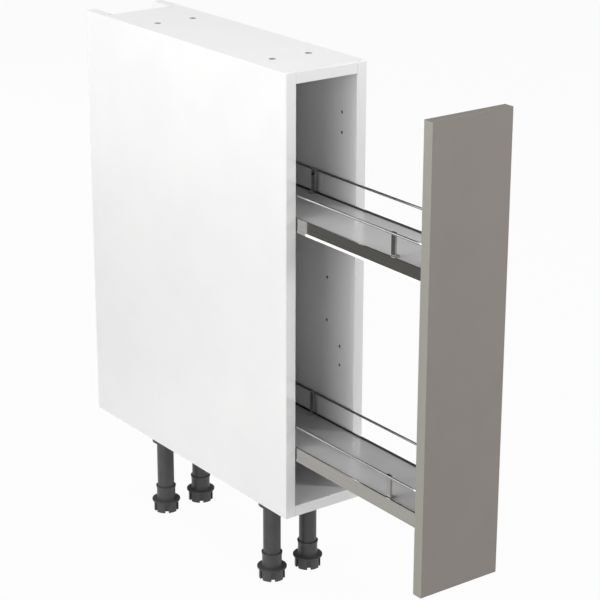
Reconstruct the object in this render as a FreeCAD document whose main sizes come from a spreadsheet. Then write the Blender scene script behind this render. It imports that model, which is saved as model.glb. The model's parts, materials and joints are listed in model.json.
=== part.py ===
import FreeCAD, Part
import os
import re

import Sketcher
from FreeCAD import Placement, Rotation, Vector

# A narrow kitchen base unit with a pull-out front and two railed trays.
# The floor is Z 0, +X is the unit's right side, and the pull-out opens towards -Y.
# It stands as it was photographed, pulled out part of the way.

# Driving sizes in millimetres, and two counts
sizes = {
    # carcass boards
    "carcass_width": 150,
    "carcass_depth": 570,
    "carcass_height": 720,
    "board": 18,
    "edge_round": 0.8,
    "service_void": 52,
    "back_thickness": 3,
    "back_play": 1,
    "groove_depth": 8,
    "groove_play": 0.2,
    # rows of drilled holes inside the side panels
    "system_hole": 5,
    "system_depth": 12,
    "system_pitch": 32,
    "system_inset": 37,
    "top_pair_drop": 85,
    "bottom_pair_height": 220,
    "inner_inset": 71,
    "inner_pair_height": 287,
    "inner_pair_pitch": 72,
    # holes of the worktop screws in the top panel, and of the leg pegs in the bottom panel
    "worktop_hole": 12,
    "worktop_inset": 41,
    "peg_hole": 10,
    "peg_inset": 38.5,
    "peg_front": 92,
    "peg_rear": 103,
    # knock-down joints of the carcass
    "cam_diameter": 15,
    "cam_depth": 12.5,
    "cam_setback": 34,
    "cam_inset": 45,
    "cam_slot": 2,
    "cam_slot_length": 7.5,
    "bolt_diameter": 6,
    "bolt_thread": 5,
    "bolt_reach": 10,
    "dowel_diameter": 8,
    "dowel_length": 34,
    "dowel_reach": 10,
    "dowel_step": 32,
    "joint_play": 0.1,
    # legs
    "leg_height": 150,
    "plate_diameter": 52,
    "plate_thickness": 4,
    "boss_wall": 7.4,
    "boss_height": 19,
    "peg_length": 14,
    "tube_diameter": 29,
    "tube_wall": 2.2,
    "tube_end": 18,
    # adjustable feet
    "foot_play": 0.3,
    "foot_sole": 7,
    "foot_diameter": 43,
    "foot_height": 18.5,
    "flange_diameter": 49,
    "flange_thickness": 2,
    "collar_wall": 1.4,
    "collar_top": 46,
    "lip_flare": 1.2,
    "lip_height": 7,
    "foot_slots": 6,
    "slot_width": 6,
    "slot_depth": 2.2,
    "notch_depth": 8,
    "notch_height": 4.5,
    # front panel
    "front_thickness": 18,
    "front_side_gap": 2,
    "front_bottom_gap": 1,
    "front_top_gap": 3,
    "front_round": 1,
    "front_gap": 2,
    "pulled_out": 310,
    "buffer_diameter": 8,
    "buffer_height": 40,
    "buffer_play": 0.2,
    # trays
    "upper_tray_height": 492.5,
    "lower_tray_height": 116,
    "tray_side_play": 0.8,
    "tray_rear_play": 20,
    "base_thickness": 8,
    "base_play": 0.2,
    "frame_sheet": 1.5,
    "frame_corner": 9,
    "frame_lip": 2.5,
    "skirt_drop": 20,
    "hem_step": 0.8,
    "hem_height": 4,
    "ledge_width": 8,
    "seal_width": 1.4,
    "seal_drop": 0.4,
    "front_flange": 14,
    "flange_screw_inset": 6,
    "flange_screw_drop": 14.8,
    # gallery rails and posts
    "rail_diameter": 4,
    "rail_height": 37.5,
    "rail_inset": 2.1,
    "rail_corner": 12,
    "post_width": 8.7,
    "post_sheet": 3.2,
    "post_bend": 2,
    "post_drop": 1,
    "post_setback": 86,
    "post_foot": 6.2,
    "post_screw": 2.5,
    "post_screw_head": 4.4,
    "post_screw_head_height": 1,
    "post_screw_setback": 3.2,
    # telescopic runners
    "runner_setback": 20,
    "runner_rear_play": 45,
    "runner_travel": 450,
    "runner_width": 46,
    "runner_height": 13,
    "runner_sheet": 1.2,
    "runner_bend": 1,
    "runner_rise": 1.4,
    "runner_lip": 2.2,
    "ball_lane": 3.4,
    "ball_play": 0.3,
    "web_play": 0.6,
    "cage_margin": 2.5,
    "cage_sheet": 1.2,
    "cage_play": 0.5,
    "ball_count": 4,
    "notch_play": 2,
    # brackets and screws
    "bracket_sheet": 2,
    "bracket_width": 30,
    "bracket_drop": 25,
    "bracket_inset": 40,
    "bend_round": 1.5,
    "front_bracket_width": 40,
    "front_bracket_drop": 32,
    "front_bracket_foot": 20,
    "face_screw_drop": 21,
    "foot_screw_setback": 12,
    "screw_diameter": 4,
    "screw_head": 8,
    "screw_head_height": 2,
    "screw_reach": 11,
    "screw_pitch": 20,
    "small_screw": 3,
    "small_head": 6,
    "small_head_height": 1.4,
    "small_reach": 5.5,
}

doc = FreeCAD.newDocument("pull_out_base_cabinet")
sheet = doc.addObject("Spreadsheet::Sheet", "Sizes")
for row, (alias, size) in enumerate(sizes.items(), start=1):
    sheet.set(f"A{row}", alias)
    sheet.set(f"B{row}", str(size))
    sheet.setAlias(f"B{row}", alias)
doc.recompute()

nodes = []
axes = {"x": Vector(1, 0, 0), "y": Vector(0, 1, 0), "z": Vector(0, 0, 1)}
turns = {
    "x": Rotation(axes["y"], 90),
    "y": Rotation(axes["x"], -90),
    "z": Rotation(),
}
near = 0.01

# Places worked out from the driving sizes
front_edge = "((front_thickness + front_gap + pulled_out - carcass_depth) / 2)"
door_back = f"({front_edge} - front_gap - pulled_out)"
inner_half = "(carcass_width / 2 - board)"
panel_depth = "(carcass_depth - service_void - back_thickness)"
tray_length = f"({panel_depth} - tray_rear_play + front_gap)"
tray_half = f"({inner_half} - tray_side_play)"
skirt_half = f"({tray_half} - hem_step)"
skirt_length = f"({tray_length} - hem_step)"
frame_inner = f"({skirt_half} - frame_sheet)"
frame_inner_length = f"({skirt_length} - frame_sheet)"
rail_half = f"({tray_half} - rail_inset)"
runner_length = f"({panel_depth} - runner_setback - runner_rear_play)"
front_half = "(carcass_width / 2 - front_side_gap)"
levels = {name: f"(leg_height + {name}_tray_height)" for name in ("upper", "lower")}
sides = {"left": -1, "right": 1}
cam_rows = ("cam_inset", f"({panel_depth} - cam_inset)")
dowel_rows = ("(cam_inset + dowel_step)", f"({panel_depth} - cam_inset - dowel_step)")
panel_floors = {"bottom": "0", "top": "(carcass_height - board)"}
peg_rows = {"front": "peg_front", "rear": f"({panel_depth} - peg_rear)"}
bracket_rows = {
    "front": "(runner_setback + bracket_inset)",
    "rear": f"(runner_setback + {runner_length} - bracket_inset - bracket_width)",
}
bracket_screws = ("(bracket_width / 2 - screw_pitch / 2)", "(bracket_width / 2 + screw_pitch / 2)")
post_rows = ("post_setback", f"({tray_length} - post_setback)")
rail_screw_rows = ("runner_setback", f"({runner_length} / 2)", f"({runner_length} - runner_setback)")


def ref(text):
    # The name of a size stands for its cell in the sheet
    return re.sub(r"[a-z_]+", lambda word: f"Sizes.{word[0]}" if word[0] in sizes else word[0], text)


def number(text):
    return float(sheet.evalExpression(ref(text)))


def place(item, x, y, z):
    for axis, text in zip("xyz", (x, y, z)):
        item.setExpression(f"Placement.Base.{axis}", ref(text))
    return item


def box(name, length, width, height, x, y, z):
    item = doc.addObject("Part::Box", name)
    for side, text in (("Length", length), ("Width", width), ("Height", height)):
        item.setExpression(side, ref(text))
    return place(item, x, y, z)


def rod(name, diameter, length, x, y, z, along="z"):
    item = doc.addObject("Part::Cylinder", name)
    item.setExpression("Radius", ref(f"({diameter}) / 2"))
    item.setExpression("Height", ref(length))
    item.Placement = Placement(Vector(), turns[along])
    return place(item, x, y, z)


def fuse(name, pieces):
    item = doc.addObject("Part::MultiFuse", name)
    item.Shapes = pieces
    return item


def cut(name, base, tool):
    item = doc.addObject("Part::Cut", name)
    item.Base = base
    item.Tool = tool
    return item


def group(label, pieces):
    # Identical pieces share one node as separate solids
    item = doc.addObject("Part::Compound", label)
    item.Links = pieces
    item.Label = label
    nodes.append(item)
    return item


def new_body(label, x="0", y="0", z="0", node=True):
    item = doc.addObject("PartDesign::Body", label)
    item.Label = label
    if node:
        nodes.append(item)
    return place(item, x, y, z)


def sketch(body, role, lift="0"):
    plane = next(part for part in body.Origin.OriginFeatures if part.Role == role)
    drawing = body.newObject("Sketcher::SketchObject", f"{body.Name}_sketch")
    drawing.AttachmentSupport = (plane, [""])
    drawing.MapMode = "FlatFace"
    drawing.setExpression("AttachmentOffset.Base.z", ref(lift))
    return drawing


def pin_point(drawing, edge, point, x, y):
    # Ties one point of the drawing to the sheet
    for kind, text in (("DistanceX", x), ("DistanceY", y)):
        rule = drawing.addConstraint(Sketcher.Constraint(kind, -1, 1, edge, point, number(text)))
        drawing.setExpression(f"Constraints[{rule}]", ref(text))


def outline(drawing, points):
    # Closed run of straight lines
    first = drawing.GeometryCount
    corners = [Vector(number(x), number(y), 0) for x, y in points]
    for start, end in zip(corners, corners[1:] + corners[:1]):
        drawing.addGeometry(Part.LineSegment(start, end))
    for index, (x, y) in enumerate(points):
        after = first + (index + 1) % len(points)
        drawing.addConstraint(Sketcher.Constraint("Coincident", first + index, 2, after, 1))
        pin_point(drawing, first + index, 1, x, y)


def rectangle(drawing, left, low, right, high):
    outline(drawing, [(left, low), (right, low), (right, high), (left, high)])


def hairpin(drawing, half, low, high, radius, closed=True):
    # Two long sides and a far end with rounded corners, and a straight near end where it is closed
    turn_x = f"({half} - {radius})"
    turn_y = f"({high} - {radius})"
    runs = [
        ((f"-{half}", low), (f"-{half}", turn_y)),
        ((f"-{turn_x}", high), (turn_x, high)),
        ((half, turn_y), (half, low)),
    ]
    for start, end in runs:
        ends = [Vector(number(x), number(y), 0) for x, y in (start, end)]
        line = drawing.addGeometry(Part.LineSegment(*ends))
        pin_point(drawing, line, 1, *start)
        pin_point(drawing, line, 2, *end)
    for sign, before, after in ((-1, 0, 1), (1, 1, 2)):
        start = drawing.getPoint(before, 2)
        end = drawing.getPoint(after, 1)
        centre = Vector(sign * number(turn_x), number(turn_y), 0)
        halfway = centre + Vector(sign, 1, 0).normalize() * number(radius)
        bow = drawing.addGeometry(Part.Arc(start, halfway, end))
        # an arc starts at its later run, because it is drawn anticlockwise
        drawing.addConstraint(Sketcher.Constraint("Coincident", bow, 1, after, 1))
        drawing.addConstraint(Sketcher.Constraint("Coincident", bow, 2, before, 2))
        rule = drawing.addConstraint(Sketcher.Constraint("Radius", bow, number(radius)))
        drawing.setExpression(f"Constraints[{rule}]", ref(radius))
    if closed:
        near_end = drawing.addGeometry(Part.LineSegment(drawing.getPoint(2, 2), drawing.getPoint(0, 1)))
        drawing.addConstraint(Sketcher.Constraint("Coincident", near_end, 1, 2, 2))
        drawing.addConstraint(Sketcher.Constraint("Coincident", near_end, 2, 0, 1))


def circle(drawing, x, y, diameter):
    radius = f"({diameter}) / 2"
    centre = Vector(number(x), number(y), 0)
    edge = drawing.addGeometry(Part.Circle(centre, axes["z"], number(radius)))
    rule = drawing.addConstraint(Sketcher.Constraint("Radius", edge, number(radius)))
    drawing.setExpression(f"Constraints[{rule}]", ref(radius))
    pin_point(drawing, edge, 3, x, y)


def extrude(body, kind, drawing, length=None, reverse=False, symmetric=False):
    # A Pad or a Pocket, which goes right through where no length is given
    item = body.newObject(f"PartDesign::{kind}", f"{body.Name}_{kind.lower()}")
    item.Profile = drawing
    item.Reversed = reverse
    item.SideType = "Symmetric" if symmetric else "One side"
    if length is None:
        item.Type = "ThroughAll"
    else:
        item.setExpression("Length", ref(length))
    return item


def revolve(body, drawing):
    item = body.newObject("PartDesign::Revolution", f"{body.Name}_revolution")
    item.Profile = drawing
    item.ReferenceAxis = (drawing, ["V_Axis"])
    item.Angle = 360
    return item


def spin_copies(body, original, count):
    doc.recompute()
    axle = next(part for part in body.Origin.OriginFeatures if part.Role == "Z_Axis")
    item = body.newObject("PartDesign::PolarPattern", f"{body.Name}_pattern")
    item.Originals = [original]
    item.Axis = (axle, [""])
    item.Angle = 360
    item.setExpression("Occurrences", ref(count))
    body.Tip = item
    return item


def rounded(body, base, radius, chosen):
    doc.recompute()
    edges = enumerate(base.Shape.Edges, start=1)
    names = [f"Edge{index}" for index, edge in edges if chosen(edge)]
    item = body.newObject("PartDesign::Fillet", f"{body.Name}_fillet")
    item.Base = (base, names)
    item.setExpression("Radius", ref(radius))
    return item


def runs_along(edge, axis):
    straight = edge.Curve.TypeId == "Part::GeomLine"
    return straight and abs(edge.Curve.Direction.dot(axes[axis])) > 1 - near


def lies_at(edge, axis, text):
    # True where the whole edge lies in the plane at that place on the axis
    box_of_edge = edge.BoundBox
    low = getattr(box_of_edge, f"{axis.upper()}Min")
    high = getattr(box_of_edge, f"{axis.upper()}Max")
    return max(abs(low - number(text)), abs(high - number(text))) < near


def side_panel(side):
    left = side == "left"
    outer = "-carcass_width / 2" if left else "carcass_width / 2 - board"
    inner = "board" if left else "0"
    body = new_body(f"{side}_side_panel", outer, front_edge, "leg_height")
    face = sketch(body, "YZ_Plane")
    rectangle(face, "0", "0", "carcass_depth", "carcass_height")
    slab = extrude(body, "Pad", face, "board")
    rounded(body, slab, "edge_round", lambda edge: lies_at(edge, "y", "0"))
    # groove of the back panel
    groove = sketch(body, "YZ_Plane", inner)
    groove_front = f"({panel_depth} - groove_play)"
    groove_rear = f"({panel_depth} + back_thickness + groove_play)"
    rectangle(groove, groove_front, "0", groove_rear, "carcass_height")
    extrude(body, "Pocket", groove, "groove_depth", reverse=not left)
    # system holes in sight
    system = sketch(body, "YZ_Plane", inner)
    top_pair = "(carcass_height - top_pair_drop)"
    for height in (top_pair, f"({top_pair} - system_pitch)"):
        circle(system, "system_inset", height, "system_hole")
    for height in ("bottom_pair_height", "(bottom_pair_height + system_pitch)"):
        circle(system, "system_inset", height, "system_hole")
    for height in ("inner_pair_height", "(inner_pair_height + inner_pair_pitch)"):
        circle(system, "inner_inset", height, "system_hole")
    extrude(body, "Pocket", system, "system_depth", reverse=not left)
    # holes of the cam bolts, dowels and bracket screws
    joints = sketch(body, "YZ_Plane", inner)
    for floor in panel_floors.values():
        middle = f"({floor} + board / 2)"
        for row in cam_rows:
            circle(joints, row, middle, "bolt_thread + 2 * joint_play")
        for row in dowel_rows:
            circle(joints, row, middle, "dowel_diameter + 2 * joint_play")
    extrude(body, "Pocket", joints, "dowel_reach + joint_play", reverse=not left)
    pilots = sketch(body, "YZ_Plane", inner)
    for level, top in levels.items():
        for row in bracket_rows.values():
            for across in bracket_screws:
                height = f"({top} - leg_height - base_thickness - runner_height - bracket_drop / 2)"
                circle(pilots, f"({row} + {across})", height, "screw_diameter + 2 * joint_play")
    extrude(body, "Pocket", pilots, "screw_reach + joint_play", reverse=not left)


def cross_panel(which):
    # Two rows of holes in each panel: right through the top one, blind from below in the bottom one
    body = new_body(f"{which}_panel", "0", front_edge, f"leg_height + {panel_floors[which]}")
    face = sketch(body, "XY_Plane")
    rectangle(face, f"-{inner_half}", "0", inner_half, panel_depth)
    slab = extrude(body, "Pad", face, "board")
    rounded(body, slab, "edge_round", lambda edge: runs_along(edge, "x") and lies_at(edge, "y", "0"))
    drilling = {
        "top": ("worktop_hole", "worktop_inset", None),
        "bottom": ("peg_hole", "peg_inset", "peg_length + joint_play"),
    }
    diameter, inset, depth = drilling[which]
    holes = sketch(body, "XY_Plane")
    for sign in sides.values():
        for row in peg_rows.values():
            circle(holes, f"{sign} * (carcass_width / 2 - {inset})", row, diameter)
    extrude(body, "Pocket", holes, depth, reverse=True)
    cams = sketch(body, "XY_Plane")
    for sign in sides.values():
        for row in cam_rows:
            circle(cams, f"{sign} * ({inner_half} - cam_setback)", row, "cam_diameter")
    extrude(body, "Pocket", cams, "cam_depth", reverse=True)
    for sign in sides.values():
        end = f"{sign} * {inner_half}"
        bolts = sketch(body, "YZ_Plane", end)
        for row in cam_rows:
            circle(bolts, row, "board / 2", "bolt_diameter + 2 * joint_play")
        extrude(body, "Pocket", bolts, "cam_setback", reverse=sign < 0)
        dowels = sketch(body, "YZ_Plane", end)
        for row in dowel_rows:
            circle(dowels, row, "board / 2", "dowel_diameter + 2 * joint_play")
        extrude(body, "Pocket", dowels, "dowel_length - dowel_reach + joint_play", reverse=sign < 0)


def back_panel():
    floor = "leg_height + back_play"
    body = new_body("back_panel", "0", f"{front_edge} + {panel_depth}", floor)
    reach = f"({inner_half} + groove_depth - groove_play)"
    face = sketch(body, "XZ_Plane")
    rectangle(face, f"-{reach}", "0", reach, "(carcass_height - 2 * back_play)")
    extrude(body, "Pad", face, "back_thickness", reverse=True)


def carcass_joinery():
    # Cam locks, their bolts and the dowels, at both ends of the top and bottom panels
    locks, bolts, dowels = [], [], []
    for which, floor in panel_floors.items():
        low = f"(leg_height + {floor})"
        middle = f"({low} + board / 2)"
        for side, sign in sides.items():
            centre = f"({sign} * ({inner_half} - cam_setback))"
            for count, row in enumerate(cam_rows):
                tag = f"{which}_{side}_{count}"
                y = f"{front_edge} + {row}"
                width = "cam_diameter - 2 * joint_play"
                disc = rod(f"disc_{tag}", width, "cam_depth - joint_play", centre, y, low)
                slot_x = f"{centre} - cam_slot_length / 2"
                slot_y = f"{y} - cam_slot / 2"
                slot = box(f"slot_{tag}", "cam_slot_length", "cam_slot", "cam_slot", slot_x, slot_y, low)
                locks.append(cut(f"cam_lock_{tag}", disc, slot))
                span = "(cam_setback - cam_diameter / 2)"
                shank_x = inner_half if sign > 0 else f"-{inner_half}"
                inward = f"{shank_x} - {span}" if sign > 0 else shank_x
                outward = shank_x if sign > 0 else f"{shank_x} - bolt_reach"
                shank = rod(f"shank_{tag}", "bolt_diameter", span, inward, y, middle, "x")
                thread = rod(f"thread_{tag}", "bolt_thread", "bolt_reach", outward, y, middle, "x")
                bolts.append(fuse(f"cam_bolt_{tag}", [shank, thread]))
            for count, row in enumerate(dowel_rows):
                y = f"{front_edge} + {row}"
                inside = f"{inner_half} + dowel_reach - dowel_length"
                start = inside if sign > 0 else f"-{inner_half} - dowel_reach"
                name = f"dowel_{which}_{side}_{count}"
                dowels.append(rod(name, "dowel_diameter", "dowel_length", start, y, middle, "x"))
    group("carcass_cam_locks", locks)
    group("carcass_cam_bolts", bolts)
    group("carcass_dowels", dowels)


def leg(side, row):
    sign = sides[side]
    x = f"{sign} * (carcass_width / 2 - peg_inset)"
    y = f"{front_edge} + {peg_rows[row]}"
    tag = f"{row}_{side}"
    # mounting plate with its peg and the socket of the tube
    plate = new_body(f"leg_plate_{tag}", x, y, "leg_height")
    section = sketch(plate, "XZ_Plane")
    socket = "(tube_diameter / 2 + joint_play)"
    outline(section, [
        ("0", "peg_length"),
        ("peg_hole / 2 - joint_play", "peg_length"),
        ("peg_hole / 2 - joint_play", "0"),
        ("plate_diameter / 2", "0"),
        ("plate_diameter / 2", "-plate_thickness"),
        (f"{socket} + boss_wall", "-plate_thickness"),
        (f"{socket} + boss_wall", "-boss_height"),
        (socket, "-boss_height"),
        (socket, "-plate_thickness"),
        ("0", "-plate_thickness"),
    ])
    revolve(plate, section)
    tube = new_body(f"leg_tube_{tag}", x, y, "tube_end")
    ring = sketch(tube, "XY_Plane")
    circle(ring, "0", "0", "tube_diameter")
    circle(ring, "0", "0", "tube_diameter - 2 * tube_wall")
    extrude(tube, "Pad", ring, "leg_height - plate_thickness - tube_end")
    # foot, which screws up and down on the tube
    foot = new_body(f"foot_{tag}", x, y, "0")
    bore = "(tube_diameter / 2 + foot_play)"
    collar = f"({bore} + collar_wall)"
    section = sketch(foot, "XZ_Plane")
    outline(section, [
        ("0", "0"),
        ("foot_diameter / 2", "0"),
        ("foot_diameter / 2", "foot_height"),
        ("flange_diameter / 2", "foot_height"),
        ("flange_diameter / 2", "foot_height + flange_thickness"),
        (collar, "foot_height + flange_thickness"),
        (collar, "collar_top - lip_height"),
        (f"{collar} + lip_flare", "collar_top"),
        (bore, "collar_top"),
        (bore, "foot_sole"),
        ("0", "foot_sole"),
    ])
    revolve(foot, section)
    slots = sketch(foot, "XY_Plane")
    rectangle(slots, "foot_diameter / 2 - slot_depth", "-slot_width / 2", "foot_diameter", "slot_width / 2")
    slot = extrude(foot, "Pocket", slots, "foot_height", reverse=True)
    spin_copies(foot, slot, "foot_slots")
    notches = sketch(foot, "XY_Plane")
    rectangle(notches, "foot_diameter / 2 - notch_depth", "-slot_width / 2", "foot_diameter", "slot_width / 2")
    notch = extrude(foot, "Pocket", notches, "notch_height", reverse=True)
    spin_copies(foot, notch, "foot_slots")


def cross_bracket(level, row):
    # Bent strip across the unit, on which a runner lies
    top = f"({levels[level]} - base_thickness - runner_height)"
    y = f"{front_edge} + {bracket_rows[row]} + bracket_width"
    body = new_body(f"{level}_{row}_cross_bracket", "0", y, top)
    bend = sketch(body, "XZ_Plane")
    inside = f"({inner_half} - bracket_sheet)"
    outline(bend, [
        (f"-{inner_half}", "-bracket_drop"),
        (f"-{inside}", "-bracket_drop"),
        (f"-{inside}", "-bracket_sheet"),
        (inside, "-bracket_sheet"),
        (inside, "-bracket_drop"),
        (inner_half, "-bracket_drop"),
        (inner_half, "0"),
        (f"-{inner_half}", "0"),
    ])
    strip = extrude(body, "Pad", bend, "bracket_width")
    rounded(body, strip, "bend_round", lambda edge: runs_along(edge, "y") and lies_at(edge, "z", "0"))
    holes = sketch(body, "YZ_Plane")
    for across in bracket_screws:
        circle(holes, f"{across} - bracket_width", "-bracket_drop / 2", "screw_diameter + 2 * joint_play")
    extrude(body, "Pocket", holes, symmetric=True)


def cross_bracket_screws():
    screws = []
    for level, top in levels.items():
        z = f"{top} - base_thickness - runner_height - bracket_drop / 2"
        for row, start in bracket_rows.items():
            for count, across in enumerate(bracket_screws):
                y = f"{front_edge} + {start} + {across}"
                for side, sign in sides.items():
                    tag = f"{level}_{row}_{side}_{count}"
                    seat = f"({inner_half} - bracket_sheet)"
                    reach = "bracket_sheet + screw_reach"
                    head_x = f"{seat} - screw_head_height" if sign > 0 else f"-{seat}"
                    shank_x = seat if sign > 0 else f"-{seat} - bracket_sheet - screw_reach"
                    head = rod(f"head_{tag}", "screw_head", "screw_head_height", head_x, y, z, "x")
                    shank = rod(f"stem_{tag}", "screw_diameter", reach, shank_x, y, z, "x")
                    screws.append(fuse(f"bracket_screw_{tag}", [head, shank]))
    group("cross_bracket_screws", screws)


def runner(level):
    # Three nested channels lying flat, drawn from the cross brackets upwards
    floor = f"({levels[level]} - base_thickness - runner_height)"
    rear = f"{front_edge} + runner_setback + {runner_length}"
    outer = "(runner_width / 2)"
    lane = "(runner_sheet + ball_lane)"
    middle = f"({outer} - {lane})"
    inner = f"({middle} - {lane})"
    rim = "(runner_height - runner_rise)"
    middle_floor = "(runner_sheet + web_play)"
    middle_rim = f"({rim} - {middle_floor})"

    def channel(label, shift, half, low, high):
        body = new_body(label, "0", f"{rear} - {shift}", floor)
        section = sketch(body, "XZ_Plane")
        wall = f"({half} - runner_sheet)"
        tip = f"({half} - runner_sheet - runner_lip)"
        outline(section, [
            (f"-{half}", low),
            (half, low),
            (half, high),
            (tip, high),
            (tip, f"{high} - runner_sheet"),
            (wall, f"{high} - runner_sheet"),
            (wall, f"{low} + runner_sheet"),
            (f"-{wall}", f"{low} + runner_sheet"),
            (f"-{wall}", f"{high} - runner_sheet"),
            (f"-{tip}", f"{high} - runner_sheet"),
            (f"-{tip}", high),
            (f"-{half}", high),
        ])
        strip = extrude(body, "Pad", section, runner_length)
        bends = (low, high)
        rounded(body, strip, "runner_bend", lambda edge: runs_along(edge, "y")
                and any(lies_at(edge, "z", bend) for bend in bends)
                and any(lies_at(edge, "x", f"{sign} * {half}") for sign in sides.values()))

    channel(f"{level}_runner_cabinet_rail", "0", outer, "0", rim)
    channel(f"{level}_runner_middle_rail", "pulled_out / 2", middle, middle_floor, middle_rim)
    # tray rail, an upturned channel under the base
    tray_rail = new_body(f"{level}_runner_tray_rail", "0", f"{rear} - pulled_out", floor)
    section = sketch(tray_rail, "XZ_Plane")
    foot = f"({middle_floor} + runner_sheet + web_play)"
    wall = f"({inner} - runner_sheet)"
    crown = "(runner_height - runner_sheet)"
    outline(section, [
        (f"-{inner}", foot),
        (f"-{wall}", foot),
        (f"-{wall}", crown),
        (wall, crown),
        (wall, foot),
        (inner, foot),
        (inner, "runner_height"),
        (f"-{inner}", "runner_height"),
    ])
    strip = extrude(tray_rail, "Pad", section, runner_length)
    rounded(tray_rail, strip, "runner_bend",
            lambda edge: runs_along(edge, "y") and lies_at(edge, "z", "runner_height"))
    holes = sketch(tray_rail, "XY_Plane", "runner_height")
    for row in rail_screw_rows:
        circle(holes, "0", f"{row} - {runner_length}", "small_screw + 2 * joint_play")
    extrude(tray_rail, "Pocket", holes, "runner_sheet")
    # ball cages, which travel half as far as the channel that rolls on them
    lanes = {
        "outer": (f"({outer} - runner_sheet - ball_lane / 2)", "0", "pulled_out / 4"),
        "inner": (f"({middle} - runner_sheet - ball_lane / 2)", middle_floor, "pulled_out * 3 / 4"),
    }
    length = f"({runner_length} - runner_travel / 2 - 2 * cage_margin)"
    for lane_name, (centre, channel_floor, shift) in lanes.items():
        low = f"({channel_floor} + runner_sheet + cage_play)"
        height = f"({rim} - 2 * {low})"
        start = f"({front_edge} + runner_setback + runner_travel / 4 + cage_margin - {shift})"
        cages = []
        for side, sign in sides.items():
            tag = f"{level}_{lane_name}_{side}"
            x = f"({sign} * {centre})"
            band_x = f"{x} - cage_sheet / 2"
            bits = [box(f"band_{tag}", "cage_sheet", length, height, band_x, start, f"{floor} + {low}")]
            for count in range(int(sizes["ball_count"])):
                ball = doc.addObject("Part::Sphere", f"ball_{tag}_{count}")
                ball.setExpression("Radius", ref("ball_lane / 2 - ball_play"))
                step = f"({length} / ball_count)"
                place(ball, x, f"{start} + {step} / 2 + {count} * {step}", f"{floor} + {rim} / 2")
                bits.append(ball)
            cages.append(fuse(f"cage_{tag}", bits))
        group(f"{level}_runner_{lane_name}_cages", cages)


def front_panel():
    low = "leg_height + front_bottom_gap"
    high = "(carcass_height - front_bottom_gap - front_top_gap)"
    body = new_body("front_panel", "0", f"{door_back} - front_thickness", low)
    face = sketch(body, "XZ_Plane")
    rectangle(face, f"-{front_half}", "0", front_half, high)
    slab = extrude(body, "Pad", face, "front_thickness", reverse=True)
    rounded(body, slab, "front_round", lambda edge: True)
    pilots = sketch(body, "XZ_Plane", "-front_thickness")
    for level, top in levels.items():
        base = f"({top} - leg_height - front_bottom_gap)"
        for sign in sides.values():
            edge_x = f"{sign} * ({frame_inner} - flange_screw_inset)"
            circle(pilots, edge_x, f"{base} - flange_screw_drop", "screw_diameter + 2 * joint_play")
            bracket_z = f"{base} - base_thickness - face_screw_drop"
            circle(pilots, f"{sign} * screw_pitch / 2", bracket_z, "screw_diameter + 2 * joint_play")
    extrude(body, "Pocket", pilots, "screw_reach + joint_play", reverse=True)


def front_fixings():
    # Screws from the tray frames and brackets into the front panel, and its buffers
    screws = []
    for level, top in levels.items():
        for side, sign in sides.items():
            spots = {
                "flange": (f"{sign} * ({frame_inner} - flange_screw_inset)",
                           f"{top} - flange_screw_drop", "frame_sheet"),
                "bracket": (f"{sign} * screw_pitch / 2",
                            f"{top} - base_thickness - face_screw_drop", "bracket_sheet"),
            }
            for spot, (x, z, seat) in spots.items():
                tag = f"{level}_{spot}_{side}"
                head_y = f"{door_back} + {seat}"
                head = rod(f"top_{tag}", "screw_head", "screw_head_height", x, head_y, z, "y")
                stem_y = f"{door_back} - screw_reach"
                stem = rod(f"stem_{tag}", "screw_diameter", f"{seat} + screw_reach", x, stem_y, z, "y")
                screws.append(fuse(f"front_screw_{tag}", [head, stem]))
    group("front_panel_screws", screws)
    buffers = []
    heights = ("leg_height + buffer_height", "leg_height + carcass_height - buffer_height")
    for side, sign in sides.items():
        for count, z in enumerate(heights):
            x = f"{sign} * (carcass_width / 2 - board / 2)"
            buffers.append(rod(f"buffer_{side}_{count}", "buffer_diameter", "front_gap - buffer_play",
                               x, door_back, z, "y"))
    group("front_panel_buffers", buffers)


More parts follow.
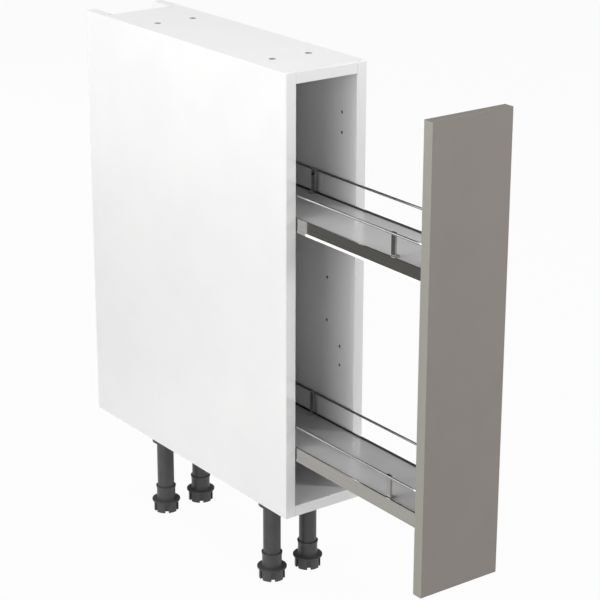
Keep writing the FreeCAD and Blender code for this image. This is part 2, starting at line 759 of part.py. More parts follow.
def tray(level):
    top = levels[level]
    underside = f"({top} - base_thickness)"
    post_x = f"({rail_half} - rail_diameter / 2)"
    foot_screw = f"({post_x} - post_sheet - post_screw_setback)"
    # base board
    base = new_body(f"{level}_tray_base", "0", door_back, underside)
    face = sketch(base, "XY_Plane")
    half = f"({frame_inner} - base_play)"
    rear = f"({frame_inner_length} - base_play)"
    rectangle(face, f"-{half}", "0", half, rear)
    slab = extrude(base, "Pad", face, "base_thickness")
    rounded(base, slab, "frame_corner - hem_step - frame_sheet",
            lambda edge: runs_along(edge, "z") and lies_at(edge, "y", rear))
    above = sketch(base, "XY_Plane", "base_thickness")
    for sign in sides.values():
        for row in post_rows:
            circle(above, f"{sign} * {foot_screw}", row, "post_screw + 2 * joint_play")
    extrude(base, "Pocket", above, "small_reach + joint_play")
    below = sketch(base, "XY_Plane")
    for row in rail_screw_rows:
        circle(below, "0", f"runner_setback + front_gap + {row}", "small_screw + 2 * joint_play")
    for sign in sides.values():
        circle(below, f"{sign} * screw_pitch / 2", "foot_screw_setback", "small_screw + 2 * joint_play")
    extrude(base, "Pocket", below, "small_reach + joint_play", reverse=True)
    # bright frame: a skirt that flares at its hem, with a ledge under the base
    frame = new_body(f"{level}_tray_frame", "0", door_back, top)
    corner = "(frame_corner - hem_step - frame_sheet)"
    skirt = sketch(frame, "XY_Plane", "-skirt_drop")
    hairpin(skirt, skirt_half, "0", skirt_length, "(frame_corner - hem_step)")
    extrude(frame, "Pad", skirt, "skirt_drop + frame_lip")
    waist = sketch(frame, "XY_Plane", "-skirt_drop + hem_height")
    hairpin(waist, skirt_half, "0", skirt_length, "(frame_corner - hem_step)")
    hem = sketch(frame, "XY_Plane", "-skirt_drop")
    hairpin(hem, tray_half, "0", tray_length, "frame_corner")
    flare = frame.newObject("PartDesign::AdditiveLoft", f"{frame.Name}_flare")
    flare.Profile = waist
    flare.Sections = [hem]
    flare.Ruled = True
    ledge = sketch(frame, "XY_Plane")
    ledge_half = f"({frame_inner} - ledge_width)"
    rectangle(ledge, f"-{ledge_half}", "frame_sheet", ledge_half, f"{frame_inner_length} - ledge_width")
    extrude(frame, "Pocket", ledge, symmetric=True)
    bed = sketch(frame, "XY_Plane", "-base_thickness")
    hairpin(bed, frame_inner, "0", frame_inner_length, corner)
    extrude(frame, "Pocket", bed, "base_thickness + frame_lip", reverse=True)
    hollow = sketch(frame, "XY_Plane", "-base_thickness - frame_sheet")
    hairpin(hollow, frame_inner, "frame_sheet", frame_inner_length, corner)
    extrude(frame, "Pocket", hollow, "skirt_drop")
    # way for the runner at the rear, and the gap between the two front flanges
    way = sketch(frame, "XZ_Plane", f"-{tray_length}")
    way_half = "(runner_width / 2 + notch_play)"
    rectangle(way, f"-{way_half}", "-skirt_drop - notch_play", way_half, "-base_thickness")
    extrude(frame, "Pocket", way, "frame_sheet + hem_step + ledge_width + notch_play", reverse=True)
    gap = sketch(frame, "XZ_Plane")
    gap_half = f"({frame_inner} - front_flange)"
    rectangle(gap, f"-{gap_half}", "-skirt_drop - notch_play", gap_half, "frame_lip + notch_play")
    extrude(frame, "Pocket", gap, "frame_sheet")
    holes = sketch(frame, "XZ_Plane")
    for sign in sides.values():
        hole_x = f"{sign} * ({frame_inner} - flange_screw_inset)"
        circle(holes, hole_x, "-flange_screw_drop", "screw_diameter + 2 * joint_play")
    extrude(frame, "Pocket", holes, "frame_sheet")
    # sealing strip on the base, inside the frame's lip
    seal = new_body(f"{level}_tray_seal", "0", door_back, top)
    seal_corner = f"({corner} - base_play)"
    strip = sketch(seal, "XY_Plane")
    hairpin(strip, half, "(frame_sheet + base_play)", rear, seal_corner)
    extrude(seal, "Pad", strip, "frame_lip - seal_drop")
    within = sketch(seal, "XY_Plane")
    hairpin(within, f"({half} - seal_width)", "0", f"({rear} - seal_width)", f"({seal_corner} - seal_width)")
    extrude(seal, "Pocket", within, reverse=True)
    # gallery rail, one rod bent round the tray
    rail = new_body(f"{level}_gallery_rail", "0", door_back, top)
    path = sketch(rail, "XY_Plane", "rail_height")
    hairpin(path, rail_half, "0", f"({tray_length} - rail_inset)", "rail_corner", closed=False)
    wire = sketch(rail, "XZ_Plane")
    circle(wire, f"-{rail_half}", "rail_height", "rail_diameter")
    pipe = rail.newObject("PartDesign::AdditivePipe", f"{rail.Name}_pipe")
    pipe.Profile = wire
    pipe.Spine = (path, ["Edge1", "Edge4", "Edge2", "Edge5", "Edge3"])
    # posts: flat straps with a foot on the base
    posts = []
    screws = []
    for side, sign in sides.items():
        for count, row in enumerate(post_rows):
            tag = f"{level}_{side}_{count}"
            y = f"{door_back} + {row}"
            post = new_body(f"post_{tag}", "0", y, top, node=False)
            strap = sketch(post, "XZ_Plane")
            rise = "(rail_height + rail_diameter / 2 - post_drop)"
            outline(strap, [
                (f"{sign} * {post_x}", "0"),
                (f"{sign} * {post_x}", rise),
                (f"{sign} * ({post_x} - post_sheet)", rise),
                (f"{sign} * ({post_x} - post_sheet)", "post_sheet"),
                (f"{sign} * ({post_x} - post_sheet - post_foot)", "post_sheet"),
                (f"{sign} * ({post_x} - post_sheet - post_foot)", "0"),
            ])
            bent = extrude(post, "Pad", strap, "post_width", symmetric=True)
            rounded(post, bent, "post_bend", lambda edge: runs_along(edge, "y") and lies_at(edge, "z", "0")
                    and lies_at(edge, "x", f"{sign} * {post_x}"))
            drill = sketch(post, "XY_Plane")
            circle(drill, f"{sign} * {foot_screw}", "0", "post_screw + 2 * joint_play")
            extrude(post, "Pocket", drill, "post_sheet", reverse=True)
            posts.append(post)
            screw_x = f"{sign} * {foot_screw}"
            head_z = f"{top} + post_sheet"
            head = rod(f"cap_{tag}", "post_screw_head", "post_screw_head_height", screw_x, y, head_z)
            reach = "post_sheet + small_reach"
            stem = rod(f"pin_{tag}", "post_screw", reach, screw_x, y, f"{top} - small_reach")
            screws.append(fuse(f"post_screw_{tag}", [head, stem]))
    group(f"{level}_rail_posts", posts)
    group(f"{level}_post_screws", screws)
    # front bracket, an angle between the base and the front panel
    bracket = new_body(f"{level}_front_bracket", "0", door_back, underside)
    angle = sketch(bracket, "YZ_Plane")
    outline(angle, [
        ("0", "-front_bracket_drop"),
        ("bracket_sheet", "-front_bracket_drop"),
        ("bracket_sheet", "-bracket_sheet"),
        ("front_bracket_foot", "-bracket_sheet"),
        ("front_bracket_foot", "0"),
        ("0", "0"),
    ])
    bent = extrude(bracket, "Pad", angle, "front_bracket_width", symmetric=True)
    rounded(bracket, bent, "bend_round",
            lambda edge: runs_along(edge, "x") and lies_at(edge, "y", "0") and lies_at(edge, "z", "0"))
    face = sketch(bracket, "XZ_Plane")
    foot = sketch(bracket, "XY_Plane")
    for sign in sides.values():
        x = f"{sign} * screw_pitch / 2"
        circle(face, x, "-face_screw_drop", "screw_diameter + 2 * joint_play")
        circle(foot, x, "foot_screw_setback", "small_screw + 2 * joint_play")
    extrude(bracket, "Pocket", face, "bracket_sheet")
    extrude(bracket, "Pocket", foot, "bracket_sheet")
    # screws up into the base, through the tray rail and the front bracket
    fixings = []
    rail_web = f"({underside} - runner_sheet)"
    for count, row in enumerate(rail_screw_rows):
        y = f"{door_back} + runner_setback + front_gap + {row}"
        tag = f"{level}_rail_{count}"
        head = rod(f"cap_{tag}", "small_head", "small_head_height", "0", y, f"{rail_web} - small_head_height")
        stem = rod(f"pin_{tag}", "small_screw", "runner_sheet + small_reach", "0", y, rail_web)
        fixings.append(fuse(f"base_screw_{tag}", [head, stem]))
    angle_web = f"({underside} - bracket_sheet)"
    for side, sign in sides.items():
        x = f"{sign} * screw_pitch / 2"
        y = f"{door_back} + foot_screw_setback"
        tag = f"{level}_angle_{side}"
        head = rod(f"cap_{tag}", "small_head", "small_head_height", x, y, f"{angle_web} - small_head_height")
        stem = rod(f"pin_{tag}", "small_screw", "bracket_sheet + small_reach", x, y, angle_web)
        fixings.append(fuse(f"base_screw_{tag}", [head, stem]))
    group(f"{level}_base_screws", fixings)


for side in sides:
    side_panel(side)
for which in panel_floors:
    cross_panel(which)
back_panel()
carcass_joinery()
for row in peg_rows:
    for side in sides:
        leg(side, row)
for level in levels:
    for row in bracket_rows:
        cross_bracket(level, row)
    runner(level)
    tray(level)
cross_bracket_screws()
front_panel()
front_fixings()
doc.recompute()

# Every object is sound, and every cut has taken something away, before a file is written
for item in doc.Objects:
    if any(word in ("Invalid", "Error") for word in item.State):
        raise RuntimeError(f"{item.Label} did not compute: {item.State}")
    if item.TypeId == "PartDesign::Pocket":
        if item.BaseFeature.Shape.Volume - item.Shape.Volume < near:
            raise RuntimeError(f"{item.Label} cuts nothing")
for node in nodes:
    if node.Shape.isNull() or not node.Shape.isValid():
        raise RuntimeError(f"{node.Label} is not a sound solid")

os.makedirs("parts", exist_ok=True)
for node in nodes:
    node.Shape.exportStep(f"parts/{node.Label}.step")
print(f"{len(nodes)} nodes written")
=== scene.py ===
import json
import math

import bpy
import numpy as np
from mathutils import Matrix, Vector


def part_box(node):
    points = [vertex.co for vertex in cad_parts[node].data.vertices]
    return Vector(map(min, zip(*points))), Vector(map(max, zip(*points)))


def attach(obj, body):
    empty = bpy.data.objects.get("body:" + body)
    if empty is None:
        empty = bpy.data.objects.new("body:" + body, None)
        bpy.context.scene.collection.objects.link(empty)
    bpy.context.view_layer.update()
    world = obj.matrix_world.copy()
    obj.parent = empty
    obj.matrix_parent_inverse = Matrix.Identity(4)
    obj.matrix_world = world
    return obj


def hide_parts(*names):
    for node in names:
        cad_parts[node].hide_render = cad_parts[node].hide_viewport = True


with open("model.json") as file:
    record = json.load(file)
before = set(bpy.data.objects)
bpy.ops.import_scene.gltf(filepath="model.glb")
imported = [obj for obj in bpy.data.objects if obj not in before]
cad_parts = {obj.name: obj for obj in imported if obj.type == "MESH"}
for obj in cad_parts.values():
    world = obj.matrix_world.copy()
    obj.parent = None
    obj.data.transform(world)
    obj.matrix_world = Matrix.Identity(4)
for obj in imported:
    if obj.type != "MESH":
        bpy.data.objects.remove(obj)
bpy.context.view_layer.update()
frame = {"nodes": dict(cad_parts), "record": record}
nodes = frame["nodes"]
print("frame loaded,", len(nodes), "nodes")

mm = 0.001


def corners(node):
    # lowest and highest corner of a node as two plain arrays
    low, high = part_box(node)
    return np.array(low), np.array(high)


class Sock:
    # wraps one output of a node tree, so that sums on it become Math nodes

    def __init__(self, tree, socket=None):
        self.tree = tree
        self.socket = socket

    def make(self, kind, settings=None, links=None, out=0):
        # one node: its settings first, then the values or links of its sockets
        node = self.tree.nodes.new("ShaderNode" + kind)
        for name, value in (settings or {}).items():
            setattr(node, name, value)
        for name, value in (links or {}).items():
            if isinstance(value, Sock):
                self.tree.links.new(value.socket, node.inputs[name])
            else:
                node.inputs[name].default_value = value
        return Sock(self.tree, node.outputs[out])

    def math(self, operation, first, second=0.0):
        return self.make("Math", {"operation": operation}, {0: first, 1: second})

    def __add__(self, other):
        return self.math("ADD", self, other)

    __radd__ = __add__

    def __sub__(self, other):
        return self.math("SUBTRACT", self, other)

    def __rsub__(self, other):
        return self.math("SUBTRACT", other, self)

    def __mul__(self, other):
        return self.math("MULTIPLY", self, other)

    def __gt__(self, other):
        return self.math("GREATER_THAN", self, other)

    def __lt__(self, other):
        return self.math("LESS_THAN", self, other)

    def smallest(self, other):
        return self.math("MINIMUM", self, other)

    def largest(self, other):
        return self.math("MAXIMUM", self, other)

    def size(self):
        return self.math("ABSOLUTE", self)

    def fade(self, low, high):
        # 0 below low, 1 above high, smooth between
        return self.make("MapRange", {"interpolation_type": "SMOOTHSTEP"},
                         {"Value": self, "From Min": low, "From Max": high})

    def tint(self, first, second):
        # first colour where the value is 0, second where it is 1; the colour sockets of the node have no names of
        # their own, so they go by number
        return self.make("Mix", {"data_type": "RGBA"}, {0: self, 6: first, 7: second}, out=2)


def newMaterial(name):
    # an empty material, its shader node and the place on the piece in metres
    material = bpy.data.materials.new(name)
    material.use_nodes = True
    tree = material.node_tree
    shader = tree.nodes["Principled BSDF"]
    place = Sock(tree).make("TexCoord", out="Object")
    return material, shader, place


def feed(shader, **inputs):
    # links and constants straight into the shader's own sockets
    for name, value in inputs.items():
        target = shader.inputs[name.replace("_", " ")]
        if isinstance(value, Sock):
            value.tree.links.new(value.socket, target)
        else:
            target.default_value = value


def grain(place, scale, detail=3.0, stretch=(1, 1, 1)):
    # cloudy noise of that many bumps in a metre
    moved = place.make("Mapping", None, {"Vector": place, "Scale": stretch})
    return place.make("TexNoise", None, {"Vector": moved, "Scale": scale, "Detail": detail})


def cells(place, scale):
    # one random tone for each cell, that many cells in a metre
    colour = place.make("TexVoronoi", None, {"Vector": place, "Scale": scale}, out="Color")
    return colour.make("SeparateColor", None, {"Color": colour})


def twoTone(noise, made):
    # the finish's two tones, mixed by a noise between its low and high mark
    return noise.fade(*made["mix"]).tint(made["face"], made["shade"])


def bumped(height, made):
    # relief of the finish: how strong, and how deep in metres
    strength, depth = made["relief"]
    return height.make("Bump", None, {"Height": height, "Strength": strength, "Distance": depth})


def axes(place):
    # the place's three coordinates
    return [place.make("SeparateXYZ", None, {"Vector": place}, out=axis) for axis in "XYZ"]


def endGaps(value, start, end):
    # distances from the two ends of a box along one axis
    return [value - float(start), float(end) - value]


def nearest(gaps):
    # the smallest of several distances
    least = gaps[0]
    for gap in gaps[1:]:
        least = least.smallest(gap)
    return least


# faced board of the carcass: white skin, glossy front edging, raw chips wherever a hole or groove goes inside
whiteBoard = {
    "face": (0.875, 0.875, 0.872, 1), "shade": (0.855, 0.856, 0.858, 1), "mix": (0.35, 0.7), "cloud": 9.0,
    "chipPale": (0.46, 0.44, 0.41, 1), "chipDark": (0.24, 0.225, 0.20, 1), "chips": 420.0, "skinDepth": 0.5 * mm,
    "line": (0.55, 0.55, 0.55, 1), "lineShare": 0.25, "bandDepth": 0.9 * mm, "bandLine": 0.12 * mm,
    "rough": 0.34, "cloudRough": 0.1, "chipRough": 0.4, "bandGloss": 0.27, "coatRough": 0.03, "coatIor": 2.2,
    "pores": 1400.0, "relief": (0.04, 0.02 * mm),
}


def paintWhite(node):
    made = whiteBoard
    low, high = corners(node)
    material, shader, place = newMaterial("white_board_" + node)
    cloud = grain(place, made["cloud"])
    pores = grain(place, made["pores"], detail=2.0)
    x, y, z = axes(place)
    # 1 where the surface lies deeper than the skin inside the board's own box
    gaps = [gap for axis in zip((x, y, z), low, high) for gap in endGaps(*axis)]
    inside = nearest(gaps) > made["skinDepth"]
    core = cells(place, made["chips"]).tint(made["chipPale"], made["chipDark"])
    # hairline where the front edging meets the faces
    behindFront = y - float(low[1])
    line = ((behindFront - made["bandDepth"]).size() < made["bandLine"]) * made["lineShare"]
    skin = line.tint(twoTone(cloud, made), made["line"])
    edging = behindFront < made["bandDepth"]
    rough = made["rough"] + cloud * made["cloudRough"] + inside * made["chipRough"] - edging * made["bandGloss"]
    feed(shader, Base_Color=inside.tint(skin, core), Roughness=rough, Coat_Weight=edging,
         Coat_Roughness=made["coatRough"], Coat_IOR=made["coatIor"], Normal=bumped(pores, made))
    return material


# taupe slab: matt foil, with paler edging on its long sides; on its top and bottom ends the edging tone is darkened,
# painted shade for less light falling there
taupeFront = {
    "face": (0.238, 0.214, 0.194, 1), "shade": (0.229, 0.207, 0.188, 1), "mix": (0.35, 0.7), "cloud": 14.0,
    "edging": (0.300, 0.292, 0.250, 1), "endEdgingPaintedShade": (0.180, 0.168, 0.151, 1), "bandDepth": 1.0 * mm,
    "line": (0.16, 0.15, 0.13, 1), "lineShare": 0.3, "bandLine": 0.1 * mm,
    "rough": 0.5, "toothRough": 0.14, "tooth": 1800.0, "relief": (0.06, 0.03 * mm),
}


def paintTaupe(node):
    made = taupeFront
    low, high = corners(node)
    material, shader, place = newMaterial("taupe_front")
    cloud = grain(place, made["cloud"])
    tooth = grain(place, made["tooth"], detail=2.0)
    x, _, z = axes(place)
    sideGap = nearest(endGaps(x, low[0], high[0]))
    endGap = nearest(endGaps(z, low[2], high[2]))
    rimGap = sideGap.smallest(endGap)
    line = ((rimGap - made["bandDepth"]).size() < made["bandLine"]) * made["lineShare"]
    face = (sideGap < made["bandDepth"]).tint(twoTone(cloud, made), made["edging"])
    # painted shade: the top and bottom ends get a darker edging tone than the long sides
    face = (endGap < made["bandDepth"]).tint(face, made["endEdgingPaintedShade"])
    feed(shader, Base_Color=line.tint(face, made["line"]), Roughness=made["rough"] + tooth * made["toothRough"],
         Normal=bumped(tooth, made))
    return material


# grey tray board, semi-gloss
trayBoard = {
    "face": (0.492, 0.487, 0.488, 1), "shade": (0.477, 0.472, 0.473, 1), "mix": (0.35, 0.7), "cloud": 22.0,
    "rough": 0.26, "poreRough": 0.06, "gloss": 0.22, "pores": 1200.0, "relief": (0.03, 0.02 * mm),
}


def paintTray():
    made = trayBoard
    material, shader, place = newMaterial("tray_board")
    cloud = grain(place, made["cloud"])
    pores = grain(place, made["pores"], detail=2.0)
    feed(shader, Base_Color=twoTone(cloud, made), Roughness=made["rough"] + pores * made["poreRough"],
         Specular_IOR_Level=made["gloss"], Normal=bumped(pores, made))
    return material


# bright plating of the posts and darker plating of the rods
postPlating = {
    "face": (0.57, 0.57, 0.56, 1), "shade": (0.51, 0.51, 0.50, 1), "mix": (0.3, 0.75), "haze": 60.0,
    "rough": 0.05, "hazeRough": 0.07,
}
rodPlating = {
    "face": (0.46, 0.46, 0.455, 1), "shade": (0.41, 0.41, 0.405, 1), "mix": (0.3, 0.75), "haze": 60.0,
    "rough": 0.12, "hazeRough": 0.07,
}
# bright zinc of screws and bolts
screwZinc = {
    "face": (0.66, 0.66, 0.64, 1), "shade": (0.52, 0.52, 0.51, 1), "mix": (0.3, 0.7), "haze": 300.0,
    "rough": 0.2, "hazeRough": 0.15,
}


def paintPlating(name, made):
    material, shader, place = newMaterial(name)
    haze = grain(place, made["haze"])
    feed(shader, Base_Color=twoTone(haze, made), Metallic=1.0, Roughness=made["rough"] + haze * made["hazeRough"])
    return material


# drawn sheet of the tray frames, with its streaks along Y
frameSheet = {
    "face": (0.62, 0.615, 0.60, 1), "shade": (0.54, 0.535, 0.52, 1), "mix": (0.3, 0.75), "haze": 30.0,
    "streaks": (600, 6, 600), "rough": 0.06, "hazeRough": 0.05, "streakRough": 0.06, "relief": (0.03, 0.01 * mm),
}


def paintFrame():
    made = frameSheet
    material, shader, place = newMaterial("frame_chrome")
    haze = grain(place, made["haze"])
    streaks = grain(place, 1.0, detail=4.0, stretch=made["streaks"])
    rough = made["rough"] + haze * made["hazeRough"] + streaks * made["streakRough"]
    feed(shader, Base_Color=twoTone(streaks, made), Metallic=1.0, Roughness=rough, Normal=bumped(streaks, made))
    return material


# galvanised strip with its spangle
galvanised = {
    "pale": (0.60, 0.61, 0.62, 1), "dark": (0.47, 0.48, 0.50, 1), "spangle": 160.0, "haze": 80.0,
    "rough": 0.28, "spangleRough": 0.14, "hazeRough": 0.1,
}


def paintGalvanised():
    made = galvanised
    material, shader, place = newMaterial("galvanised_strip")
    spangle = cells(place, made["spangle"])
    haze = grain(place, made["haze"])
    rough = made["rough"] + spangle * made["spangleRough"] + haze * made["hazeRough"]
    feed(shader, Base_Color=spangle.tint(made["pale"], made["dark"]), Metallic=1.0, Roughness=rough)
    return material


# cast zinc of the cams
castZinc = {
    "face": (0.42, 0.42, 0.43, 1), "shade": (0.52, 0.52, 0.51, 1), "mix": (0.3, 0.7), "pits": 900.0,
    "rough": 0.45, "pitRough": 0.2, "relief": (0.2, 0.05 * mm),
}


def paintCast():
    made = castZinc
    material, shader, place = newMaterial("cast_zinc")
    pits = grain(place, made["pits"])
    feed(shader, Base_Color=twoTone(pits, made), Metallic=1.0, Roughness=made["rough"] + pits * made["pitRough"],
         Normal=bumped(pits, made))
    return material


# beech dowels with their grain along X
beech = {
    "face": (0.62, 0.45, 0.28, 1), "shade": (0.45, 0.30, 0.17, 1), "mix": (0.3, 0.7), "fibres": (20, 700, 700),
    "rough": 0.6, "fibreRough": 0.2, "relief": (0.15, 0.05 * mm),
}


def paintBeech():
    made = beech
    material, shader, place = newMaterial("beech_dowel")
    fibres = grain(place, 1.0, detail=4.0, stretch=made["fibres"])
    feed(shader, Base_Color=twoTone(fibres, made), Roughness=made["rough"] + fibres * made["fibreRough"],
         Normal=bumped(fibres, made))
    return material


# dark moulded plastic of the legs
legPlastic = {
    "face": (0.060, 0.060, 0.059, 1), "shade": (0.050, 0.050, 0.049, 1), "mix": (0.35, 0.7), "cloud": 40.0,
    "rough": 0.36, "sparkRough": 0.16, "spark": 1500.0, "relief": (0.12, 0.03 * mm),
}


def paintLeg():
    made = legPlastic
    material, shader, place = newMaterial("leg_plastic")
    cloud = grain(place, made["cloud"])
    spark = grain(place, made["spark"], detail=2.0)
    feed(shader, Base_Color=twoTone(cloud, made), Roughness=made["rough"] + spark * made["sparkRough"],
         Normal=bumped(spark, made))
    return material


# soft pale buffers, and the black sealing strips
softBuffer = {
    "face": (0.60, 0.60, 0.58, 1), "shade": (0.5, 0.5, 0.49, 1), "mix": (0.35, 0.7), "cloud": 200.0,
    "rough": 0.4, "cloudRough": 0.2,
}
sealRubber = {
    "face": (0.016, 0.016, 0.017, 1), "shade": (0.010, 0.010, 0.011, 1), "mix": (0.35, 0.7), "cloud": 260.0,
    "rough": 0.5, "cloudRough": 0.2,
}


def paintRubber(name, made):
    material, shader, place = newMaterial(name)
    cloud = grain(place, made["cloud"])
    feed(shader, Base_Color=twoTone(cloud, made), Roughness=made["rough"] + cloud * made["cloudRough"])
    return material


# hardboard back, white on its face
hardBack = {
    "face": (0.80, 0.80, 0.795, 1), "shade": (0.76, 0.76, 0.755, 1), "mix": (0.35, 0.7), "cloud": 18.0,
    "rough": 0.5, "fibreRough": 0.2, "fibres": 700.0, "relief": (0.08, 0.03 * mm),
}


def paintBack():
    made = hardBack
    material, shader, place = newMaterial("back_board")
    cloud = grain(place, made["cloud"])
    fibres = grain(place, made["fibres"])
    feed(shader, Base_Color=twoTone(cloud, made), Roughness=made["rough"] + fibres * made["fibreRough"],
         Normal=bumped(fibres, made))
    return material


shared = {
    "tray_board": paintTray(), "tray_chrome": paintPlating("post_chrome", postPlating),
    "runner_steel": paintGalvanised(), "screw_steel": paintPlating("screw_zinc", screwZinc),
    "cast_zinc": paintCast(), "beech": paintBeech(), "leg_plastic": paintLeg(),
    "buffer_rubber": paintRubber("soft_buffer", softBuffer), "back_board": paintBack(),
    "seal_rubber": paintRubber("seal_rubber", sealRubber),
}
shared["cage_steel"] = shared["bracket_steel"] = shared["runner_steel"]
frameMaterial = paintFrame()
rodMaterial = paintPlating("rod_chrome", rodPlating)
slotOf = {row["node"]: row["material_slot"] for row in frame["record"]["subparts"]}
for name, piece in nodes.items():
    if slotOf[name] == "white_board":
        material = paintWhite(name)
    elif slotOf[name] == "front_board":
        material = paintTaupe(name)
    elif name.endswith("tray_frame"):
        material = frameMaterial
    elif name.endswith("gallery_rail"):
        material = rodMaterial
    else:
        material = shared[slotOf[name]]
    piece.data.materials.clear()
    piece.data.materials.append(material)
print("finishes set on", len(nodes), "nodes")


def meshPiece(name, spots, material, body, node):
    # a closed band of rings over a grid of points: rows along the piece, columns round it
    rows, columns = spots.shape[:2]
    index = np.arange(rows * columns).reshape(rows, columns)
    ahead = np.roll(index, -1, axis=1)
    quads = np.stack([index[:-1], ahead[:-1], ahead[1:], index[1:]], axis=-1).reshape(-1, 4)
    faces = quads.tolist() + [index[0, ::-1].tolist(), index[-1].tolist()]
    mesh = bpy.data.meshes.new(name)
    mesh.from_pydata(spots.reshape(-1, 3).tolist(), [], faces)
    mesh.polygons.foreach_set("use_smooth", [True] * len(quads) + [False, False])
    mesh.materials.append(material)
    piece = bpy.data.objects.new(name, mesh)
    bpy.context.scene.collection.objects.link(piece)
    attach(piece, body)
    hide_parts(node)


# gallery rails: a round rod swept along one side, round two corners and back
railRod = {"corner": 12 * mm, "turnSteps": 24, "runSteps": 16, "roundSteps": 40}


def buildRail(level):
    made = railRod
    node = level + "_gallery_rail"
    low, high = corners(node)
    radius = (high[2] - low[2]) / 2
    half = high[0] - radius
    rear = high[1] - radius
    bend = made["corner"]
    turn = np.linspace(0, math.pi / 2, made["turnSteps"] + 1)
    run = np.linspace(low[1], rear - bend, made["runSteps"], endpoint=False)
    # left run, then the rear left corner: centre plus bend times (-cos t, sin t), then the mirror image backwards
    left = np.stack([np.full_like(run, -half), run], axis=1)
    bow = np.stack([-(half - bend) - bend * np.cos(turn), rear - bend + bend * np.sin(turn)], axis=1)
    near = np.concatenate([left, bow])
    path = np.concatenate([near, near[::-1] * np.array([-1.0, 1.0])])
    # the tangent by differences, the outward normal square to it, and a circle in the plane of normal and Z
    tangent = np.gradient(path, axis=0)
    tangent /= np.linalg.norm(tangent, axis=1, keepdims=True)
    normal = np.stack([-tangent[:, 1], tangent[:, 0]], axis=1)
    angle = np.linspace(0, 2 * math.pi, made["roundSteps"], endpoint=False)
    flat = path[:, None, :] + radius * np.cos(angle)[None, :, None] * normal[:, None, :]
    lift = np.broadcast_to((low[2] + high[2]) / 2 + radius * np.sin(angle), flat.shape[:2])
    spots = np.concatenate([flat, lift[..., None]], axis=2)
    meshPiece(level + "_rail", spots, rodMaterial, "pullout", node)


for level in ("upper", "lower"):
    buildRail(level)
print("rails built")


def flatSheet(name, centre, across, along):
    # a grid of one cell: centre plus u times one half side plus v times the other
    u, v = np.meshgrid([-1.0, 1.0], [-1.0, 1.0])
    spots = np.array(centre) + u[..., None] * np.array(across) + v[..., None] * np.array(along)
    mesh = bpy.data.meshes.new(name)
    mesh.from_pydata(spots.reshape(-1, 3).tolist(), [], [(0, 1, 3, 2)])
    sheet = bpy.data.objects.new(name, mesh)
    bpy.context.scene.collection.objects.link(sheet)
    return sheet


def seenDirectly(tree):
    # 1 for rays of the eye and for those that metal and glass send on, 0 for light that only falls on things
    names = ("Is Camera Ray", "Is Glossy Ray", "Is Transmission Ray")
    eye, mirror, glass = [Sock(tree).make("LightPath", out=name) for name in names]
    return eye.largest(mirror).largest(glass)


# pale floor that stays white for the eye and for bright metal, and keeps the shadow
floorLook = {"half": 30.0, "colour": (0.46, 0.46, 0.46, 1), "rough": 0.9, "glow": 0.96}


def paintFloor():
    made = floorLook
    material, shader, place = newMaterial("pale_floor")
    feed(shader, Base_Color=made["colour"], Roughness=made["rough"], Specular_IOR_Level=0.0)
    tree = place.tree
    glow = place.make("Emission", None, {"Color": (1, 1, 1, 1), "Strength": 1.0})
    share = seenDirectly(tree) * made["glow"]
    mixed = place.make("MixShader", None, {0: share, 1: Sock(tree, shader.outputs[0]), 2: glow})
    tree.links.new(mixed.socket, tree.nodes["Material Output"].inputs["Surface"])
    return material


floor = flatSheet("floor", (0, 0, 0), (floorLook["half"], 0, 0), (0, floorLook["half"], 0))
floor.data.materials.append(paintFloor())

# studio cards that only bright metal and gloss reflect: centre, half sides and tone
cards = {
    "low_grey": {"centre": (-0.232, -0.032, 0.17), "across": (0.13, 0.094, 0), "up": 0.19,
                 "tone": (0.60, 0.585, 0.555, 1)},
    "side_dark": {"centre": (-0.70, 0.615, 0.22), "across": (0.65, 0.47, 0), "up": 0.22,
                  "tone": (0.145, 0.143, 0.135, 1)},
    "back_dark": {"centre": (1.3, 2.73, 2.1), "across": (3.3, -0.574, 0), "up": 2.1,
                  "tone": (0.05, 0.05, 0.05, 1)},
    "back_bright": {"centre": (-1.95, 2.1, 1.35), "across": (0.75, 0.55, 0), "up": 1.05,
                    "tone": (1.9, 1.9, 1.9, 1)},
}
for name, made in cards.items():
    card = flatSheet(name, made["centre"], made["across"], (0, 0, made["up"]))
    material, shader, place = newMaterial("card_" + name)
    feed(shader, Base_Color=(0, 0, 0, 1), Specular_IOR_Level=0.0, Emission_Color=made["tone"], Emission_Strength=1.0)
    card.data.materials.append(material)
    card.visible_camera = card.visible_diffuse = card.visible_shadow = card.visible_transmission = False
print("floor and cards set")

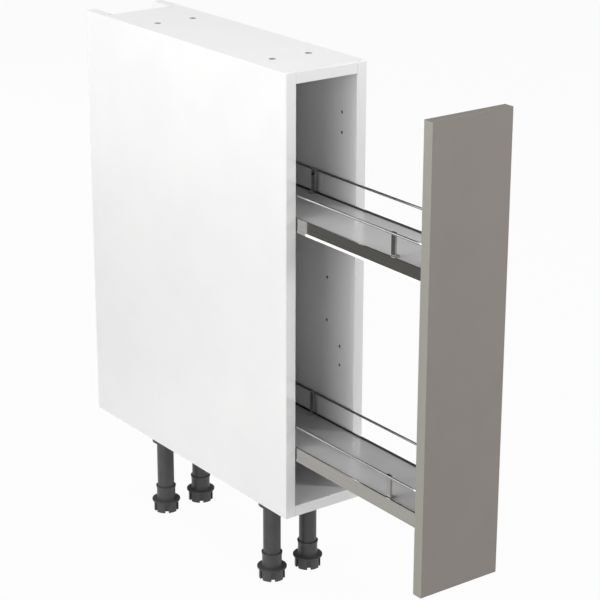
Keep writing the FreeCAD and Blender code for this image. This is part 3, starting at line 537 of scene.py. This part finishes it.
# soft lamps: where each stands, what it points at, its width and height in metres and its power
lamps = {
    "left_front": {"stand": (-3.0, -1.1, 1.45), "aim": (0, 0, 0.5), "sides": (2.0, 2.2), "power": 35.0},
    "left_side": {"stand": (-3.4, 0.35, 1.95), "aim": (0, 0, 0.5), "sides": (1.8, 2.0), "power": 62.5},
    "top_soft": {"stand": (-0.3, 0.2, 3.4), "aim": (0, 0, 0.3), "sides": (2.6, 2.6), "power": 61.0},
    "front_soft": {"stand": (0.0, -3.6, 1.7), "aim": (0, -0.2, 0.45), "sides": (0.7, 2.2), "power": 42.0},
    "right_front": {"stand": (3.0, -3.1, 2.2), "aim": (0, -0.2, 0.45), "sides": (0.8, 0.8), "power": 63.0},
    "back_fill": {"stand": (0.0, 3.6, 0.75), "aim": (0, 0.3, 0.5), "sides": (1.0, 1.1), "power": 49.0},
}


def aimed(stand, target):
    # turn about X then Z that points -Z from the stand to the target
    way = np.array(target) - np.array(stand)
    flat = math.hypot(way[0], way[1])
    return (math.atan2(flat, -way[2]), 0.0, math.atan2(way[1], way[0]) - math.pi / 2)


for name, made in lamps.items():
    lamp = bpy.data.lights.new(name, "AREA")
    lamp.shape = "RECTANGLE"
    lamp.size, lamp.size_y = made["sides"]
    lamp.energy = made["power"]
    holder = bpy.data.objects.new(name, lamp)
    holder.location = made["stand"]
    holder.rotation_euler = aimed(made["stand"], made["aim"])
    bpy.context.scene.collection.objects.link(holder)

# soft light all round, and white where the eye or bright metal looks past the floor
room = {"light": 0.09, "seen": 0.96}
world = bpy.data.worlds.new("studio")
world.use_nodes = True
backdrop = world.node_tree.nodes["Background"]
backdrop.inputs["Color"].default_value = (1, 1, 1, 1)
strength = seenDirectly(world.node_tree) * (room["seen"] - room["light"]) + room["light"]
world.node_tree.links.new(strength.socket, backdrop.inputs["Strength"])
bpy.context.scene.world = world
bpy.context.scene.view_settings.view_transform = "Standard"

# camera at the photograph's place: stand in metres, turns in degrees, lens and sensor in millimetres
view = {
    "stand": (-1.78896, -2.47105, 1.55864), "down": 19.337, "round": 35.963, "lens": 121.92, "sensor": 36.0,
    "shiftX": 0.0302, "shiftY": -0.0198,
}
lens = bpy.data.cameras.new("camera")
lens.lens = view["lens"]
lens.sensor_width = view["sensor"]
lens.shift_x = view["shiftX"]
lens.shift_y = view["shiftY"]
camera = bpy.data.objects.new("camera", lens)
camera.location = view["stand"]
camera.rotation_euler = (math.radians(90 - view["down"]), 0.0, math.radians(-view["round"]))
bpy.context.scene.collection.objects.link(camera)
bpy.context.scene.camera = camera
print("lamps and camera set")
